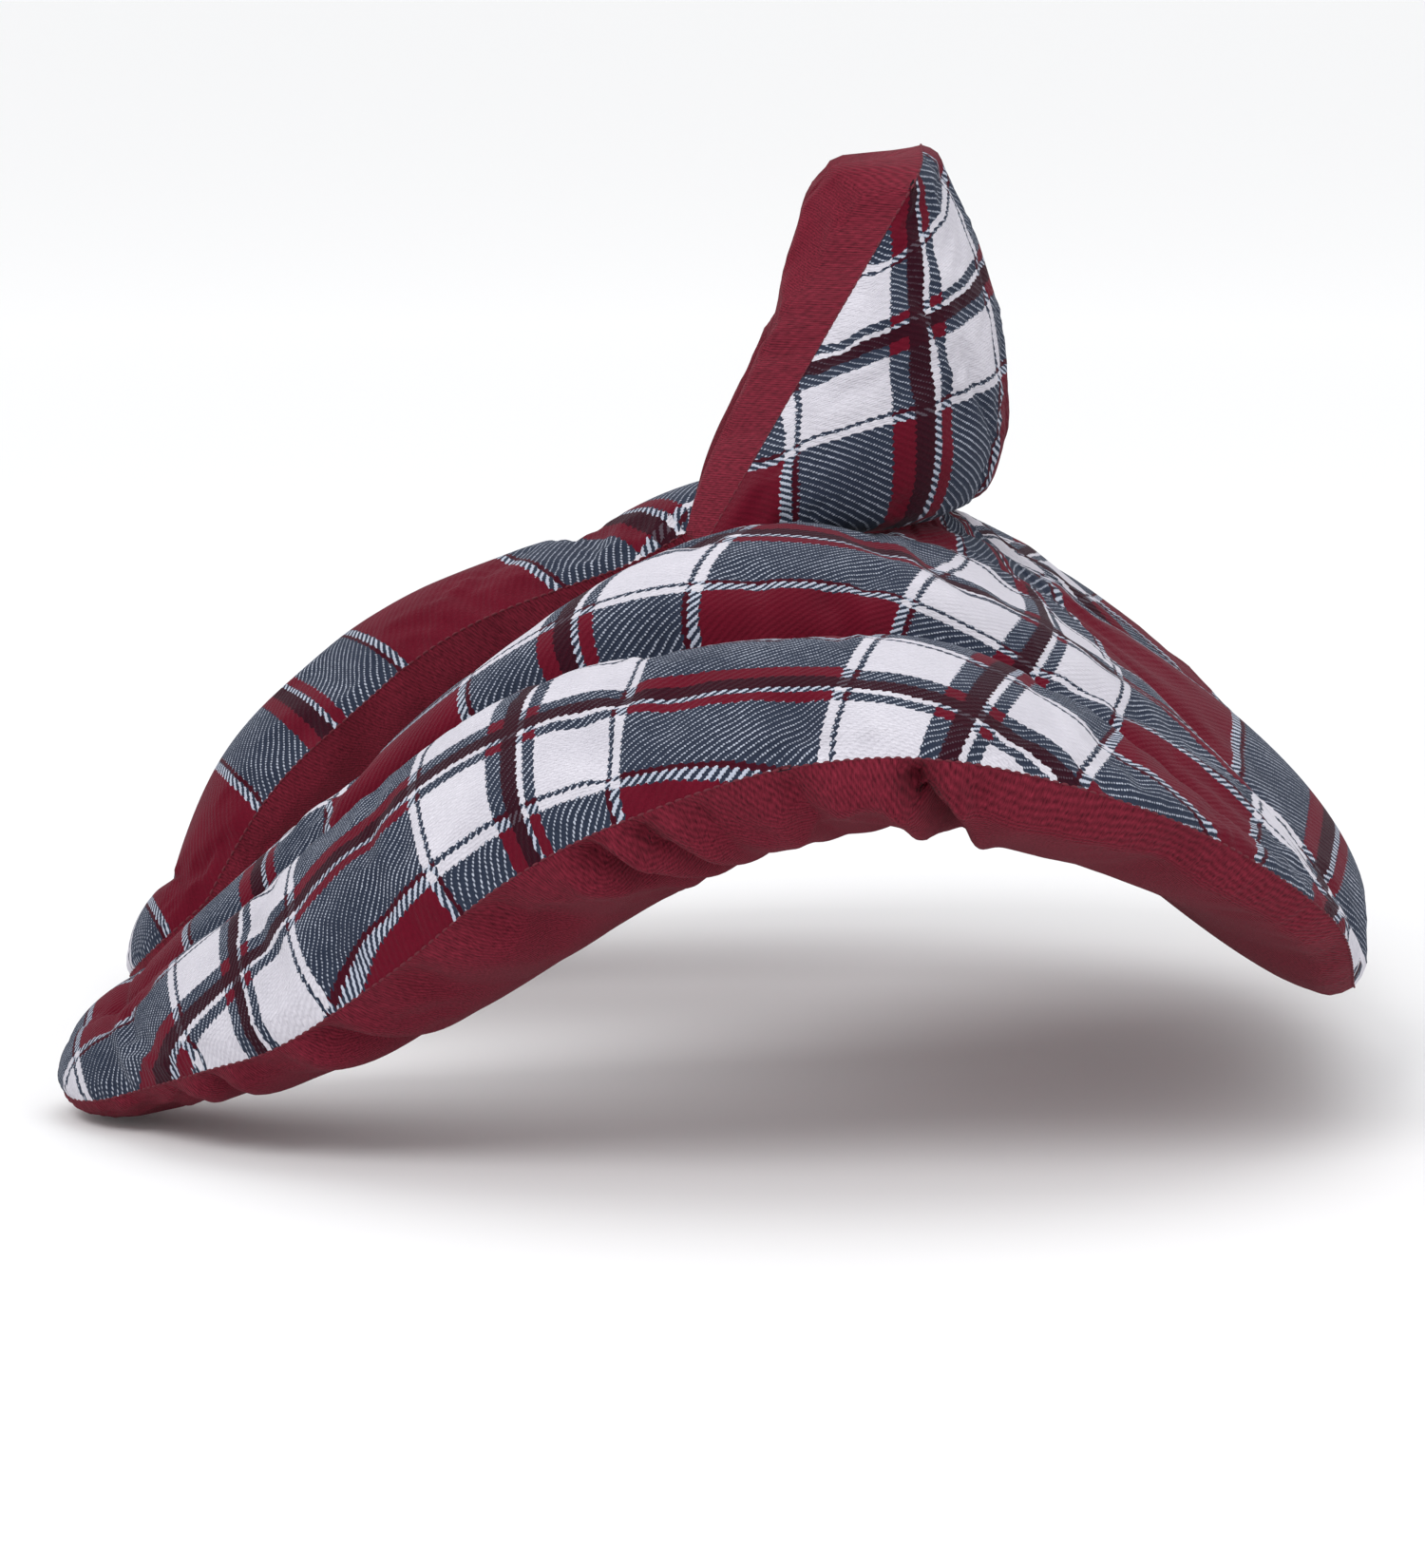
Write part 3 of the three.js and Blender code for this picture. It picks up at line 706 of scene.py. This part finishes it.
def blurred(values, reach):
    """Gaussian blur of a grid along rows and columns; its edges repeat outwards."""
    taps = np.arange(-3 * reach, 3 * reach + 1)
    weights = np.exp(-(taps**2) / (2 * reach**2))
    weights /= weights.sum()
    for axis in (0, 1):
        width = [(0, 0)] * values.ndim
        width[axis] = (3 * reach, 3 * reach)
        wide = np.pad(values, width, mode="edge")
        count = values.shape[axis]
        values = sum(w * np.take(wide, range(n, n + count), axis=axis) for n, w in enumerate(weights))
    return values


def stuffed(front, back, looseness, hold):
    """Inflates two grids that are sewn together round their border, and returns both with the puckers.

    looseness is how much longer the cloth is than its place, at the front and at the back, and hold says how
    firmly the front's points keep their places.
    Only the short folds are kept, so that the padding's overall shape stays as it was.
    """
    rows, columns = front.shape[:2]
    index = np.arange(rows * columns).reshape(rows, columns)
    behind = index.copy()
    behind[1:-1, 1:-1] = rows * columns + np.arange((rows - 2) * (columns - 2)).reshape(rows - 2, -1)
    vertices = np.concatenate([front.reshape(-1, 3), back[1:-1, 1:-1].reshape(-1, 3)]) * MM
    faces = np.concatenate([grid_faces(index), grid_faces(behind)[:, ::-1]])
    mesh = bpy.data.meshes.new("stuffing")
    mesh.from_pydata(vertices.tolist(), [], faces.tolist())
    obj = bpy.data.objects.new("stuffing", mesh)
    bpy.context.collection.objects.link(obj)
    seam = np.ones((rows, columns), bool)
    seam[1:-1, 1:-1] = False
    held = obj.vertex_groups.new(name="held")
    for i, weight in zip(index.reshape(-1).tolist(), np.where(seam, 1.0, hold).reshape(-1).tolist()):
        held.add([i], weight, "REPLACE")
    loose = obj.vertex_groups.new(name="loose")
    loose.add(behind[1:-1, 1:-1].reshape(-1).tolist(), 1.0, "REPLACE")
    cloth = obj.modifiers.new("cloth", "CLOTH")
    settings = cloth.settings
    settings.quality = 6
    settings.mass = 0.25
    settings.tension_stiffness = 18
    settings.compression_stiffness = 18
    settings.shear_stiffness = 6
    settings.bending_stiffness = 1.2
    settings.air_damping = 2
    settings.use_pressure = True
    settings.uniform_pressure_force = 5
    settings.effector_weights.gravity = 0
    settings.vertex_group_mass = "held"
    settings.pin_stiffness = 1.5
    settings.vertex_group_shrink = "loose"
    settings.shrink_min, settings.shrink_max = -looseness[0], -looseness[1]
    cloth.collision_settings.use_collision = False
    cloth.point_cache.frame_start, cloth.point_cache.frame_end = 1, SIMULATED_FRAMES
    scene = bpy.context.scene
    for frame_number in range(1, SIMULATED_FRAMES + 1):
        scene.frame_set(frame_number)
    settled = obj.evaluated_get(bpy.context.evaluated_depsgraph_get()).to_mesh()
    place = np.empty(len(vertices) * 3, np.float32)
    settled.vertices.foreach_get("co", place)
    place = place.reshape(-1, 3).astype(float) / MM
    scene.frame_set(1)
    bpy.data.objects.remove(obj)
    bpy.data.meshes.remove(mesh)
    results = []
    for grid, numbers in ((front, index), (back, behind)):
        moved = place[numbers] - grid
        moved = moved - BROAD_SHARE * blurred(moved, BROAD_REACH)
        moved[seam] = 0
        size = np.linalg.norm(moved, axis=-1, keepdims=True)
        results.append(grid + moved * FOLD_LIMIT / np.maximum(size, FOLD_LIMIT))
    return results


# ---- Folds --------------------------------------------------------------------------------------------


def lengths_along(points, axis):
    """Length from the grid's start to each point along its rows or columns."""
    steps = np.linalg.norm(np.diff(points, axis=axis), axis=-1)
    start = np.zeros_like(np.take(steps, [0], axis=axis))
    return np.concatenate([start, np.cumsum(steps, axis=axis)], axis=axis)


def ripple(x, seed):
    """A wandering curve of about -1 to 1, with waves from 1 to 4 units of x long."""
    rng = np.random.default_rng(seed)
    waves = rng.uniform([1.0, 0.5, 0], [4.0, 1.0, 2 * np.pi], (RIPPLE_WAVES, 3))
    return sum(size * np.sin(2 * np.pi * x / wave + start) for wave, size, start in waves) / RIPPLE_SIZE


def gathered(points, side, seed):
    """Short wrinkles across the seams, as a seam's stitches gather the cloth beside it."""
    normals = grid_normals(points) * side
    rim, across = lengths_along(points, 0), lengths_along(points, 1)
    for gap, column, start in ((across, 0, seed), (across[:, -1:] - across, -1, seed + 1)):
        along_seam = rim[:, column : (column + 1) or None]
        wrinkle = GATHER_DEPTH * ripple(along_seam / GATHER_LENGTH, start)
        reach = GATHER_REACH * (1 + 0.5 * ripple(along_seam / GATHER_WANDER, start + 2))
        share = (1 - np.exp(-gap / GATHER_START)) * np.exp(-gap / reach)
        share = share * (1 - np.exp(-np.minimum(rim, rim[-1] - rim) / GATHER_END))
        points = points + normals * (wrinkle * share)[..., None]
    return points


def tucked(points, side, stations, tucks):
    """Folds that run from the rim into the underside."""
    normals = grid_normals(points) * side
    rim = lengths_along(points, 0)[:, -1]
    gap = lengths_along(points, 1)
    gap = gap[:, -1:] - gap
    for station, depth, width, reach, slant in tucks:
        inward = gap / reach
        place = np.interp(station, stations, rim) + slant * inward
        x = (rim[:, None] - place) / width
        profile = np.exp(-(np.abs(x) ** TUCK_SHARPNESS))
        for ridge in (TUCK_RIDGE_PLACE, -TUCK_RIDGE_PLACE):
            profile = profile - TUCK_RIDGE * np.exp(-((x - ridge) ** 2))
        share = (1 - np.exp(-gap / TUCK_START)) * smooth(1 - inward)
        points = points - normals * (depth * profile * share)[..., None]
    return points


# ---- Pieces -------------------------------------------------------------------------------------------


def filling(name, front, back, inset, material, rows=1):
    """The stuffing: the space between two covers, less the gap and the border rows that it leaves out."""
    front, back = front[rows:-rows, BORDER:-BORDER], back[rows:-rows, BORDER:-BORDER]
    middle, half = (front + back) / 2, (front - back) / 2
    thick = np.linalg.norm(half, axis=-1, keepdims=True)
    half = half * np.clip(1 - inset / thick, LEAST_FILLING, 1)
    vertices = np.concatenate([(middle + half).reshape(-1, 3), (middle - half).reshape(-1, 3)]) * MM
    return add_object(name, vertices, sheet_faces(*front.shape[:2]).tolist(), material)


def stitches(name, line, out, material):
    """Short stitches end to end along a seam, each a rounded length of thread."""
    length = np.concatenate([[0], np.cumsum(np.linalg.norm(np.diff(line, axis=0), axis=-1))])
    count = int(length[-1] / STITCH_PITCH)
    middles = (np.arange(count) + 0.5) * length[-1] / count
    ends = [np.stack([np.interp(middles + n, length, column) for column in line.T], -1) for n in (-1, 1)]
    place = np.stack([np.interp(middles, length, column) for column in (line + out * STITCH_LIFT).T], -1)
    forward = unit(ends[1] - ends[0])
    above = unit(np.stack([np.interp(middles, length, column) for column in out.T], -1))
    aside = unit(np.cross(forward, above))
    above = np.cross(aside, forward)
    turns = np.linspace(0, 2 * np.pi, STITCH_SIDES, endpoint=False)
    shape = []
    for reach in np.linspace(-1, 1, STITCH_RINGS):
        bow = -STITCH_BOW * STITCH_RADIUS * reach**2
        radius = STITCH_RADIUS * math.sqrt(max(1 - reach**6, 0.04))
        for turn in turns:
            shape.append((reach * STITCH_LENGTH / 2, radius * math.cos(turn), bow + radius * math.sin(turn)))
    shape = np.array(shape)
    frames = np.stack([forward, aside, above], 1)
    vertices = place[:, None] + np.einsum("vk,skx->svx", shape, frames)
    faces = []
    for ring in range(STITCH_RINGS - 1):
        for n in range(STITCH_SIDES):
            m = (n + 1) % STITCH_SIDES
            low, high = ring * STITCH_SIDES, (ring + 1) * STITCH_SIDES
            faces.append((low + n, low + m, high + m, high + n))
    last = (STITCH_RINGS - 1) * STITCH_SIDES
    faces += [tuple(range(STITCH_SIDES))[::-1], tuple(range(last, last + STITCH_SIDES))]
    every = [tuple(i + s * len(shape) for i in face) for s in range(count) for face in faces]
    return add_object(name, vertices.reshape(-1, 3) * MM, every, material)


def attach(obj, node, body, bend=None):
    """Fixes a piece to its body; where bend gives the start and end of a curve across the joint, it only
    bakes the piece's place into its mesh.
    """
    if bend is None:
        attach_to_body(obj, body)
    else:
        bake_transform(obj)
    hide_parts(node)


def joint_place(name):
    joint = next(j for j in frame["joints"] if j["name"] == name)
    return np.array(joint["pos_m"], float) / MM


def arm_bend(body, side, border):
    """Start and end of an arm's curve: it starts past the last point of the covers' edges on the yoke."""
    hinge = joint_place(f"{body}_bend")
    ahead = unit(ARM_AHEAD * [side, 1, 1])
    start = hinge + ahead * ((border - hinge) @ ahead).max()
    return tuple(tuple(p * MM) for p in (start, start + ahead * ARM_CURVE))


def make_pad():
    """The pad's panels, fillings and seam stitches, split where the arms bend."""
    stations = pad_rows()
    top, top_flat = pad_grid(stations, 1)
    under, under_flat = pad_grid(stations, -1)
    smooth_top, smooth_under = (finer(finer(grid), (0,)) for grid in (top, under))
    line, depth = crease_at(top_flat[..., 0])
    near = np.exp(-(((np.abs(top_flat[..., 1]) - line) / HOLD_WIDTH) ** 2))
    hold = PAD_HOLD + CREASE_HOLD * near * np.clip(depth / HOLD_DEPTH, 0, 1)
    top, under = stuffed(top, under, PAD_LOOSENESS, hold)
    grids = (top, under, top_flat, under_flat)
    top, under, top_flat, under_flat = (finer(finer(grid), (0,)) for grid in grids)
    rows = np.interp(np.arange(len(top)), np.arange(0, len(top), FINE_ROWS), stations)
    top = gathered(top, 1, PAD_SEEDS[0])
    under = tucked(gathered(under, -1, PAD_SEEDS[1]), -1, rows, TUCKS)
    top_normals, under_normals = grid_normals(top), grid_normals(under)
    rim_out = unit(top[:, -1] - top[:, -3] + under[:, -1] - under[:, -3])
    neck_out = unit(top[:, 0] - top[:, 2] + under[:, 0] - under[:, 2])

    first, last = (int(np.abs(rows - station).argmin()) for station in (-SPLIT_STATION, SPLIT_STATION))
    parts = {
        "right_arm": (slice(0, first + 1), -1),
        "yoke": (slice(first, last + 1), 0),
        "left_arm": (slice(last, None), 1),
    }
    for body, (part, side) in parts.items():
        bend = None
        if side:
            border = first if side < 0 else last
            bend = arm_bend(body, side, np.concatenate([top[border], under[border]]))
        panel = shell(f"{body}_top", top, top_flat, top_normals, 1, flannel, part)
        attach(panel, f"{body}_top_panel", body, bend)
        panel = shell(f"{body}_under", under, under_flat, under_normals, -1, backing, part)
        attach(panel, f"{body}_under_panel", body, bend)
        covers = (grid[part][::FINE_ROWS, ::FINE_COLUMNS] for grid in (smooth_top, smooth_under))
        fill = filling(f"{body}_filling", *covers, PAD_INSET, fibre)
        attach(fill, f"{body}_fill", body, bend)
        if side:
            # From the yoke along the rim, round the arm's end and back along the neck.
            outwards = slice(None) if side > 0 else slice(None, None, -1)
            tip = top[part][-1 if side > 0 else 0][::-1][1:-1]
            tip_out = np.repeat([unit(END_REACH * [side, 1, 1])], len(tip), 0)
            line = np.concatenate([top[part][outwards, -1], tip, top[part][outwards, 0][::-1]])
            out = np.concatenate([rim_out[part][outwards], tip_out, neck_out[part][outwards][::-1]])
            seam = stitches(f"{body}_stitches", line, out, thread)
            attach(seam, f"{body}_edge_thread", body, bend)
        else:
            seam = stitches("yoke_stitches", top[part][:, -1], rim_out[part], thread)
            attach(seam, "yoke_edge_thread", body)
            seam = stitches("neckline_stitches", top[part][:, 0], neck_out[part], thread)
            attach(seam, "neckline_thread", body)


def make_collar():
    """The collar's panels, filling and seam stitches."""
    across, up = np.linspace(-COLLAR_HALF, COLLAR_HALF, COLLAR_ROWS), np.linspace(0, 1, COLLAR_COLUMNS)
    s, q = np.meshgrid(across, up, indexing="ij")
    outer, outer_flat = collar_surface(s, q, 1)
    inner, inner_flat = collar_surface(s, q, -1)
    covers = (inner, outer)
    outer, inner = stuffed(outer, inner, COLLAR_LOOSENESS, np.full(s.shape, COLLAR_HOLD))
    outer, inner, outer_flat, inner_flat = (finer(grid) for grid in (outer, inner, outer_flat, inner_flat))
    outer, inner = gathered(outer, -1, COLLAR_SEEDS[0]), gathered(inner, 1, COLLAR_SEEDS[1])
    panel = shell("collar_outer", outer, outer_flat, grid_normals(outer), -1, collar_flannel)
    attach(panel, "collar_outer_panel", "collar", COLLAR_CURVE)
    panel = shell("collar_inner", inner, inner_flat, grid_normals(inner), 1, backing)
    attach(panel, "collar_inner_panel", "collar", COLLAR_CURVE)
    fill = filling("collar_filling", *covers, COLLAR_INSET, fibre, BORDER)
    attach(fill, "collar_fill", "collar", COLLAR_CURVE)
    line = np.concatenate([outer[0], outer[1:-1, -1], outer[-1, ::-1]])
    top_out = outer[1:-1, -1] - outer[1:-1, -3]
    out = unit(np.concatenate([outer[0] - outer[2], top_out, (outer[-1] - outer[-3])[::-1]]))
    seam = stitches("collar_stitches", line, out, thread)
    attach(seam, "collar_edge_thread", "collar", COLLAR_CURVE)


# ---- The scene ----------------------------------------------------------------------------------------

add_camera()
add_studio(CAD_BOX[0][2])
flannel = tartan("tartan_flannel", TARTAN_PHASE)
collar_flannel = tartan("collar_tartan", COLLAR_PHASE)
backing = twill("burgundy_twill", BACKING_WITH_SHADE_LOW, BACKING_WITH_SHADE_HIGH)
thread = plain("burgundy_thread", THREAD_LOW, THREAD_HIGH, THREAD_GRAIN)
fibre = plain("filling", FIBRE_LOW, FIBRE_HIGH, FIBRE_GRAIN)
make_pad()
make_collar()
